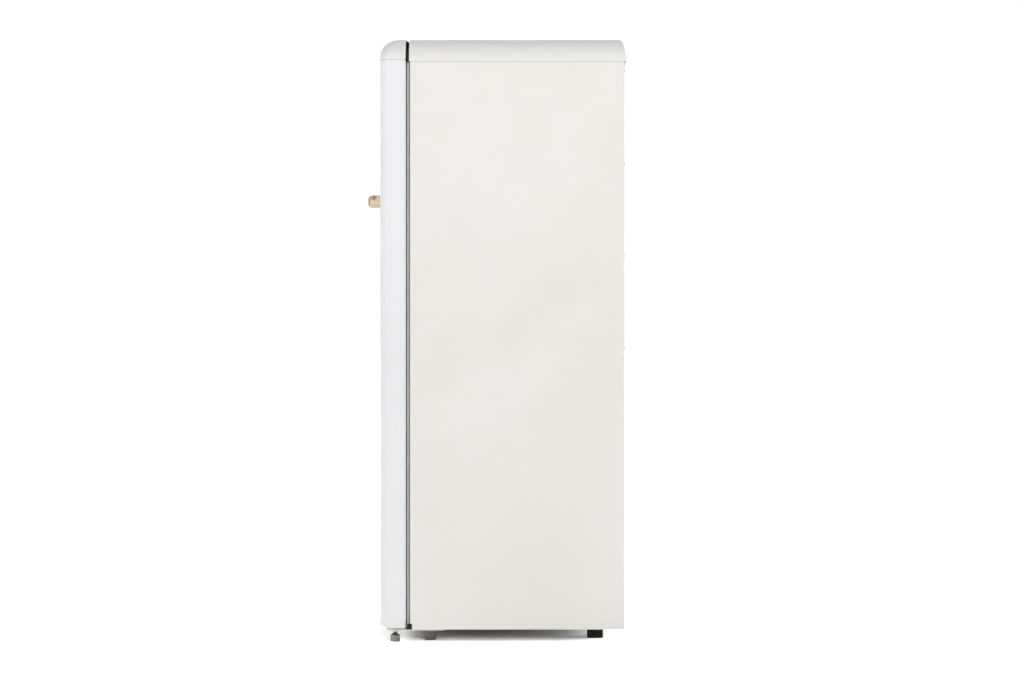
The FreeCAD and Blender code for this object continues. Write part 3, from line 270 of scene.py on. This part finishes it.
def galvanised():
    """Zinc-coated sheet with its spangle: flat crystals that each shine differently."""
    look = Look("galvanised_steel", Metallic=1.0)
    crystals = look.cells(95)
    look.set("Base Color", look.ramp(crystals, (0.0, seen(164, 168, 171)), (1.0, seen(190, 192, 193))))
    look.set("Roughness", look.spread(crystals, 0.3, 0.48, 0.0, 1.0))
    look.relief(look.noise(300, 3), 0.00003)
    return look.material


def zinc_plate():
    """Bright zinc on pressed and turned parts, with drawing lines and a faint yellow stain."""
    look = Look("zinc_steel", Metallic=1.0)
    lines = look.noise(260, 4, look.stretched(0.15, 6, 6))
    stain = look.noise(60, 3)
    look.set("Base Color", look.ramp(stain, (0.35, seen(203, 203, 202)), (0.7, seen(190, 186, 172))))
    look.set("Roughness", look.spread(lines, 0.24, 0.42))
    look.relief(lines, 0.00002)
    return look.material


def compressor_paint():
    """Thick black enamel with dust on what faces up."""
    look = Look("black_paint", Coat_Weight=0.3, Coat_Roughness=0.12)
    dust = look.times(look.facing_up(0.35, 1.0), look.spread(look.noise(70, 6), 0.05, 0.75))
    look.set("Base Color", look.mixed(dust, seen(24, 24, 26), seen(112, 108, 101)))
    look.set("Roughness", look.spread(dust, 0.26, 0.7, 0.0, 0.8))
    look.relief(look.noise(330, 3), 0.00008)
    return look.material


def copper():
    """Drawn copper tube: bright, with brown oxide in patches."""
    look = Look("copper_tube", Metallic=1.0)
    patches = look.noise(75, 5, distortion=0.6)
    look.set("Base Color", look.ramp(patches, (0.35, seen(213, 150, 117)), (0.68, seen(136, 88, 66))))
    look.set("Roughness", look.spread(patches, 0.24, 0.5))
    return look.material


def aluminium():
    """Rolled sheet, with fine lines across the cabinet."""
    look = Look("bare_aluminium", Base_Color=seen(201, 203, 205), Metallic=1.0)
    lines = look.noise(400, 3, look.stretched(0.05, 1, 1))
    look.set("Roughness", look.spread(lines, 0.28, 0.45))
    look.relief(lines, 0.00001)
    return look.material


def shelf_glass():
    """Toughened glass with the slight green of iron."""
    look = Look("shelf_glass", Base_Color=seen(240, 250, 246), Transmission_Weight=1.0, IOR=1.52)
    look.set("Roughness", look.spread(look.noise(6, 4), 0.0, 0.05, 0.45, 0.75))
    return look.material


def clear_plastic():
    """Clear styrene, very slightly blue, with the faint flow lines of moulding."""
    look = Look("clear_plastic", Transmission_Weight=0.95, IOR=1.45)
    flow = look.noise(11, 3, look.stretched(1, 1, 3), distortion=1.5)
    look.set("Base Color", look.ramp(flow, (0.3, seen(248, 251, 253)), (0.7, seen(252, 253, 254))))
    look.set("Roughness", look.spread(flow, 0.05, 0.14))
    look.relief(flow, 0.0002)
    return look.material


def frosted_lens():
    """The lamp's milky cover, ribbed on the inside. The lamp is on, as it is whenever the door is open."""
    look = Look("frosted_plastic", Base_Color=seen(247, 247, 243), Roughness=0.42, IOR=1.45,
                Transmission_Weight=0.35, Emission_Color=seen(255, 250, 238), Emission_Strength=LAMP_GLOW)
    ribs = look.node("ShaderNodeTexWave", {"Vector": look.place, "Scale": 62.0}, bands_direction="X",
                     wave_profile="SIN").outputs["Fac"]
    look.relief(ribs, 0.0004)
    return look.material


def lamp_board(low):
    """White solder mask, with yellow phosphor on the lamps that hang below the board."""
    look = Look("circuit_board")
    above = look.along("Z", *(low + height for height in LAMP_TOP))
    look.set("Base Color", look.mixed(above, seen(233, 214, 96), seen(226, 230, 229)))
    look.set("Roughness", look.spread(look.noise(900, 2), 0.28, 0.42))
    return look.material


def black_plastic():
    """Matt black plastic, as on the relay's cover and the fillers at the hinges."""
    look = Look("black_plastic", Specular_IOR_Level=0.3)
    look.set("Base Color", look.ramp(look.noise(120, 4), (0.3, seen(9, 8, 8)), (0.7, seen(25, 23, 21))))
    look.set("Roughness", look.spread(look.noise(60, 3), 0.42, 0.6))
    look.relief(look.noise(1400, 2), 0.00004)
    return look.material


def black_rubber():
    """Moulded rubber, bloomed with pale dust."""
    look = Look("black_rubber", Roughness=0.7)
    look.set("Base Color", look.ramp(look.noise(150, 6), (0.35, seen(26, 25, 24)), (0.75, seen(62, 59, 55))))
    look.relief(look.noise(1100, 3), 0.00006)
    return look.material


def grey_foot(stem):
    """Filled grey nylon, scuffed paler in places, and darker over the tops of the front feet, above their
    necks.
    """
    look = Look("grey_foot")
    scuffs = look.noise(230, 5, look.stretched(1, 1, 0.5))
    grey = look.ramp(scuffs, (0.3, seen(126, 126, 120)), (0.5, seen(154, 154, 147)),
                     (0.75, seen(178, 178, 170)))
    # Darker over the tops of the front feet, above their necks, and not on the glide foot behind them.
    dark_foot_tops = look.times(look.along("Z", *FOOT_NECK), look.along("Y", *(stem + reach for reach in FOOT_REACH)))
    look.set("Base Color", look.mixed(look.times(dark_foot_tops, 0.75), grey, seen(58, 57, 54)))
    look.set("Roughness", look.spread(scuffs, 0.48, 0.68))
    look.relief(scuffs, 0.0001)
    return look.material


def gasket_vinyl(door_side, cabinet_side):
    """Soft grey vinyl. The bellows near the door is greener, and the magnet's pocket a little purple."""
    look = Look("grey_gasket", Sheen_Weight=0.15)
    across = look.along("Y", door_side, cabinet_side)
    look.set("Base Color", look.ramp(across, (0.0, seen(243, 244, 240)), (0.5, seen(242, 242, 241)),
                                     (0.75, seen(244, 244, 246)), (1.0, seen(238, 234, 243))))
    look.set("Roughness", look.spread(look.noise(90, 3), 0.38, 0.55))
    look.relief(look.noise(700, 2), 0.00003)
    return look.material


def magnet():
    """Brown-grey ferrite rubber."""
    look = Look("magnet", Roughness=0.7)
    look.set("Base Color", look.ramp(look.noise(300, 4), (0.3, seen(80, 75, 70)), (0.7, seen(106, 100, 93))))
    return look.material


def foam():
    """Rigid polyurethane with its fine open cells."""
    look = Look("foam", Roughness=0.9)
    tone = look.noise(30, 5)
    look.set("Base Color", look.ramp(tone, (0.3, seen(226, 212, 160)), (0.7, seen(240, 231, 190))))
    look.relief(look.cells(900), 0.0004)
    return look.material


def handle_wood(low, high):
    """Pale ash: rings that run along the bar and curve on its ends, patchy dark brown along its top, and
    painted shade on its front edge and underside.
    """
    look = Look("wood", Specular_IOR_Level=0.4)
    heart_y, heart_z = low.y - 0.030, low.z - 0.045  # the rings' middle, in front of the bar and below it
    lengthways = 0.07
    rings = look.node("ShaderNodeTexWave", {
        "Vector": look.stretched(lengthways, 1, 1, (0.0, -heart_y, -heart_z)), "Scale": 88.0,
        "Distortion": 5.0, "Detail": 3.0, "Detail Scale": 0.7, "Detail Roughness": 0.6,
    }, wave_type="RINGS", rings_direction="X", wave_profile="SAW").outputs["Fac"]
    grain = look.ramp(rings, (0.0, seen(255, 243, 220)), (0.62, seen(254, 235, 207)),
                      (0.92, seen(238, 210, 174)), (1.0, seen(254, 238, 213)))
    fibres = look.noise(1500, 3, look.stretched(0.03, 1, 1))
    pale = look.mixed(look.spread(fibres, 0.0, 0.25), grain, seen(228, 198, 160))
    # Patchy dark brown along the top of the bar, clear of its back.
    near_top = look.along("Z", high.z - 0.0145, high.z - 0.0115)
    clear_of_back = look.along("Y", high.y - 0.006, high.y - 0.010)
    top_patchiness = look.noise(95, 3, look.stretched(0.25, 1, 1.3))
    dark_top_patches = look.times(look.times(near_top, clear_of_back), look.spread(top_patchiness, 0.3, 1.0, 0.4, 0.58))
    with_dark_top = look.mixed(look.times(dark_top_patches, 0.8), pale, seen(136, 98, 64))
    # Painted shade: darker on the bar's front edge and, more weakly, along its underside.
    front = look.times(look.along("Y", low.y + 0.0054, low.y + 0.002), 0.8)
    under = look.times(look.along("Z", low.z + 0.0036, low.z + 0.0008), 0.45)
    edges = look.node("ShaderNodeMath", {0: front, 1: under}, operation="MAXIMUM").outputs["Value"]
    look.set("Base Color", look.mixed(edges, with_dark_top, seen(164, 128, 92)))
    look.set("Roughness", look.spread(fibres, 0.36, 0.54))
    look.relief(fibres, 0.00006)
    return look.material


def ink():
    """Printed grey lacquer."""
    look = Look("grey_ink", Base_Color=seen(96, 99, 102))
    look.set("Roughness", look.spread(look.noise(500, 2), 0.42, 0.6))
    return look.material


def dress_nodes():
    """Gives every CAD node the material of its slot."""
    bar_low, bar_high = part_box("handle_bar")
    gasket_low, gasket_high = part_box("door_gasket")
    board_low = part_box("led_board")[0]
    foot_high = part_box("front_foot_right")[1]
    looks = {
        "white_paint": enamel("white_paint", seen(228, 225, 221), seen(233, 230, 227), 0.42),
        "white_door_paint": enamel("white_door_paint", seen(230, 230, 232), seen(234, 234, 236), 0.33),
        "white_cap": moulded("white_cap", seen(231, 230, 228), 0.34, 800, 0.00002),
        "white_liner": thermoformed(),
        "white_trim": moulded("white_trim", seen(235, 237, 237), 0.36, 1500, 0.00003),
        "back_paint": back_paint(),
        "galvanised_steel": galvanised(),
        "zinc_steel": zinc_plate(),
        "black_paint": compressor_paint(),
        "copper_tube": copper(),
        "bare_aluminium": aluminium(),
        "shelf_glass": shelf_glass(),
        "clear_plastic": clear_plastic(),
        "frosted_plastic": frosted_lens(),
        "circuit_board": lamp_board(board_low.z),
        "black_plastic": black_plastic(),
        "black_rubber": black_rubber(),
        "grey_foot": grey_foot(foot_high.y),
        "grey_gasket": gasket_vinyl(gasket_low.y, gasket_high.y),
        "magnet": magnet(),
        "foam": foam(),
        "wood": handle_wood(bar_low, bar_high),
    }
    for part in frame["record"]["subparts"]:
        mesh = frame["nodes"][part["node"]].data
        mesh.materials.clear()
        mesh.materials.append(looks[part["material_slot"]])
    return looks


# ---------------------------------------------------------------- small pieces
def piece(name, mesh, material, body):
    """Puts a mesh in the scene as a piece that moves with a body."""
    obj = bpy.data.objects.new(name, mesh)
    bpy.context.scene.collection.objects.link(obj)
    mesh.materials.append(material)
    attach(obj, body)


def lofted(name, rings, closed=False):
    """A smooth mesh through rings of points. It ends in two caps, or closed, where it started."""
    form = bmesh.new()
    loops = [[form.verts.new(point) for point in ring] for ring in rings]
    pairs = list(zip(loops, loops[1:]))
    if closed:
        pairs.append((loops[-1], loops[0]))
    size = len(loops[0])
    for first, second in pairs:
        for i in range(size):
            form.faces.new((first[i], first[(i + 1) % size], second[(i + 1) % size], second[i]))
    if not closed:
        form.faces.new(loops[0][::-1])
        form.faces.new(loops[-1])
    bmesh.ops.recalc_face_normals(form, faces=form.faces)
    mesh = bpy.data.meshes.new(name)
    form.to_mesh(mesh)
    form.free()
    mesh.shade_smooth()
    return mesh


def rounded_loop(low, high, radii, z):
    """Points round a level rectangle, with a radius for its low-Y corners and one for its high-Y ones."""
    front, back = radii
    corners = [(low.x, low.y, front, 180), (high.x, low.y, front, 270), (high.x, high.y, back, 0),
               (low.x, high.y, back, 90)]
    points = []
    for x, y, radius, start in corners:
        centre_x = x + (radius if x == low.x else -radius)
        centre_y = y + (radius if y == low.y else -radius)
        for i in range(CORNER_STEPS + 1):
            turn = math.radians(start + 90 * i / CORNER_STEPS)
            points.append(Vector((centre_x + radius * math.cos(turn), centre_y + radius * math.sin(turn), z)))
    return points


def bead(name, path, radius):
    """A round bead along a closed level path."""
    turns = [2 * math.pi * i / BEAD_SIDES for i in range(BEAD_SIDES)]
    rings = []
    for i, point in enumerate(path):
        along = (path[(i + 1) % len(path)] - path[i - 1]).normalized()
        out = along.cross(UP)
        rings.append([point + radius * (out * math.cos(t) + UP * math.sin(t)) for t in turns])
    return lofted(name, rings, closed=True)


def screw_head(name, seat, out, radius):
    """A domed head with a cross recess, standing on its seat."""
    up = Vector(out).normalized()
    side = up.orthogonal().normalized()
    across = up.cross(side)
    turns = [2 * math.pi * i / SCREW_SIDES for i in range(SCREW_SIDES)]
    # How far the recess reaches each way, as a share of the radius: far along its four arms, little between.
    cross = [0.2 + 0.42 * abs(math.cos(2 * turn)) ** 5 for turn in turns]
    profile = [  # share of the radius, height as a share of the radius, and whether it follows the cross
        (1.0, 0.0, False), (1.0, 0.12, False), (0.93, 0.3, False), (0.72, 0.48, False), (1.0, 0.52, True),
        (0.85, 0.2, True), (0.3, 0.14, True),
    ]
    rings = []
    for share, height, crossed in profile:
        middle = Vector(seat) + up * height * radius
        ring = []
        for turn, recess in zip(turns, cross):
            reach = share * (recess if crossed else 1.0) * radius
            ring.append(middle + side * reach * math.cos(turn) + across * reach * math.sin(turn))
        rings.append(ring)
    return lofted(name, rings)


def back_screws(steel):
    """The screws that hold the back sheet to the side panels, and the compressor's plate at its foot."""
    low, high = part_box("back_panel")
    plate_low, plate_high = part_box("compressor_base")
    sheet_back = high.y - PAD_HEIGHT
    step = (high.z - low.z - 2 * SCREW_END) / (SCREW_ROWS - 1)
    levels = [low.z + SCREW_END + i * step for i in range(SCREW_ROWS)]
    seats = [(x, sheet_back, z) for x in (low.x + SCREW_INSET, high.x - SCREW_INSET) for z in levels]
    plate_level = plate_low.z + PLATE_SCREW_RISE
    seats += [(x, plate_high.y, plate_level) for x in (plate_low.x + PLATE_SCREW_INSET, 0.0)]
    for i, seat in enumerate(seats):
        mesh = screw_head(f"back_screw_{i + 1}", seat, (0, 1, 0), SCREW_RADIUS)
        piece(mesh.name, mesh, steel, "cabinet")


def door_seam(grey):
    """The thin seal in the joint between the door's skin and its top cap; its grey also paints the shadow
    line under the cap.
    """
    low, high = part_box("door_skin")
    path = rounded_loop(low, high, (DOOR_EDGE, DOOR_FOLD), high.z - SEAM_DROP)
    piece("cap_seam", bead("cap_seam", path, SEAM), grey, "door")


def cover_seam(grey):
    """The same seal between the cabinet's sides and its top cover, whose grey also paints the shadow line
    under the cover.
    """
    low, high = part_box("side_panel_left")[0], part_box("side_panel_right")[1]
    path = rounded_loop(low, high, (PANEL_FOLD, PANEL_FOLD), high.z - SEAM_DROP)
    piece("cover_seam", bead("cover_seam", path, SEAM), grey, "cabinet")


def printed(name, words, size):
    """Generic figures as a flat mesh, a hair thick."""
    curve = bpy.data.curves.new(name, "FONT")
    curve.body, curve.size, curve.extrude = words, size, PRINT_DEPTH
    curve.align_x, curve.align_y = "CENTER", "CENTER"
    maker = bpy.data.objects.new(name, curve)
    mesh = bpy.data.meshes.new_from_object(maker)
    bpy.data.objects.remove(maker)
    mesh.name = name
    return mesh


def dial_marks(print_ink):
    """Figures on the temperature dial, and the mark on the housing that they turn past."""
    low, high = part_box("thermostat_knob")
    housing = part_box("control_housing")[0]
    centre = Vector(((low.x + high.x) / 2, low.y + DIAL_GRIP, (low.z + high.z) / 2))
    radius = (high.x - low.x) / 2
    for i, clockwise in enumerate(FIGURE_TURNS):
        turn = math.radians(clockwise)
        place = centre + Vector((math.sin(turn), 0, math.cos(turn))) * radius * FIGURE_CIRCLE
        mesh = printed(f"dial_figure_{i + 1}", str(i + 1), FIGURE_SIZE)
        upright = Matrix.Rotation(turn, 4, "Y") @ Matrix.Rotation(math.pi / 2, 4, "X")
        mesh.transform(Matrix.Translation(place) @ upright)
        piece(mesh.name, mesh, print_ink, "thermostat_dial")
    tip = Vector((low.x - MARK_GAP, housing.y - MARK_DEPTH, centre.z))
    back = Vector((0, MARK_DEPTH, 0))
    outline = [tip + Vector(point) for point in MARK_OUTLINE]
    mesh = lofted("dial_mark", [outline, [point + back for point in outline]])
    piece("dial_mark", mesh, print_ink, "cabinet")


# ---------------------------------------------------------------- studio
def aimed(obj, place, target):
    """Puts a light or the camera in the scene, looking at a target."""
    obj.location = place
    obj.rotation_mode = "QUATERNION"
    obj.rotation_quaternion = (Vector(target) - Vector(place)).to_track_quat("-Z", "Y")
    bpy.context.scene.collection.objects.link(obj)
    return obj


def studio_world():
    """A pale room: a white backdrop on the far side from the camera, grey walls, and a white horizon."""
    world = bpy.data.worlds.new("studio")
    bpy.context.scene.world = world
    world.use_nodes = True
    tree = world.node_tree
    place = tree.nodes.new("ShaderNodeTexCoord")
    parts = tree.nodes.new("ShaderNodeSeparateXYZ")
    tree.links.new(place.outputs["Generated"], parts.inputs["Vector"])

    def graded(axis, *stops):
        """A value that passes from one level to another along an axis."""
        ramp = tree.nodes.new("ShaderNodeMapRange")
        ramp.interpolation_type = "SMOOTHSTEP"
        for key, value in zip(("From Min", "From Max", "To Min", "To Max"), stops):
            ramp.inputs[key].default_value = value
        tree.links.new(parts.outputs[axis], ramp.inputs["Value"])
        return ramp.outputs["Result"]

    def combined(operation, first, second):
        """Two values put together by a sum, a product or the like."""
        made = tree.nodes.new("ShaderNodeMath")
        made.operation = operation
        tree.links.new(first, made.inputs[0])
        tree.links.new(second, made.inputs[1])
        return made.outputs["Value"]

    backdrop = graded("X", *BACKDROP_EDGE, WALL_LEVEL, BACKDROP_LEVEL)
    ceiling = graded("Z", *CEILING_EDGE, 1.0, CEILING_SHARE)
    horizon = graded("Z", *HORIZON_EDGE, 0.0, HORIZON_LEVEL)
    level = combined("MAXIMUM", combined("MULTIPLY", backdrop, ceiling), horizon)
    tree.links.new(level, tree.nodes["Background"].inputs["Strength"])
    tree.nodes["Background"].inputs["Color"].default_value = (1.0, 1.0, 1.0, 1.0)


def studio_floor():
    """A plain white floor that reaches to the horizon."""
    mesh = bpy.data.meshes.new("studio_floor")
    corners = [(x * FLOOR_REACH, y * FLOOR_REACH, 0) for x, y in ((-1, -1), (1, -1), (1, 1), (-1, 1))]
    mesh.from_pydata(corners, [], [(0, 1, 2, 3)])
    floor = bpy.data.objects.new("studio_floor", mesh)
    bpy.context.scene.collection.objects.link(floor)
    look = Look("studio_floor", Base_Color=seen(244, 244, 243), Specular_IOR_Level=0.2)
    look.set("Roughness", look.spread(look.noise(3, 3), 0.62, 0.78))
    mesh.materials.append(look.material)
    return floor


def floor_wash(floor):
    """Light for the floor only: it keeps the floor white, and reaches a little way under the cabinet."""
    lit = bpy.data.collections.new("floor_only")
    lit.objects.link(floor)
    for name, strength, spread, (x, y), rise, bounces in FLOOR_LIGHTS:
        light = bpy.data.lights.new(name, "SUN")
        light.energy, light.angle = strength, math.radians(spread)
        light.cycles.max_bounces = bounces
        level = math.cos(math.radians(rise))
        start = (x * level, y * level, math.sin(math.radians(rise)))
        wash = aimed(bpy.data.objects.new(name, light), start, (0, 0, 0))
        wash.light_linking.receiver_collection = lit


def softboxes():
    """Two square soft lights on the camera's side, one towards the front and one towards the back."""
    for name, place, target, width, watts in SOFTBOXES:
        light = bpy.data.lights.new(name, "AREA")
        light.shape, light.size, light.energy = "SQUARE", width, watts
        aimed(bpy.data.objects.new(name, light), place, target)


def camera():
    """Looks square at the hinge side, from half the refrigerator's height."""
    lens = bpy.data.cameras.new("camera")
    lens.lens, lens.sensor_width = CAMERA_LENS, CAMERA_SENSOR
    lens.clip_start, lens.clip_end = CAMERA_SIGHT
    eye = Vector((cad_high.x + CAMERA_DISTANCE, CAMERA_SIDEWAYS, CAMERA_HEIGHT))
    bpy.context.scene.camera = aimed(bpy.data.objects.new("camera", lens), eye, eye - Vector((1, 0, 0)))


def studio():
    """The room, its floor, the lights and the camera."""
    bpy.context.scene.view_settings.view_transform = "Standard"
    studio_world()
    floor_wash(studio_floor())
    softboxes()
    camera()


looks = dress_nodes()
back_screws(looks["zinc_steel"])
# A grey for the seals: partly their own colour, partly painted shadow for the lines of the joints.
seam_shadow_grey = moulded("seam_shadow_grey", seen(150, 150, 147), 0.55, 700, 0.00002)
door_seam(seam_shadow_grey)
cover_seam(seam_shadow_grey)
dial_marks(ink())
studio()
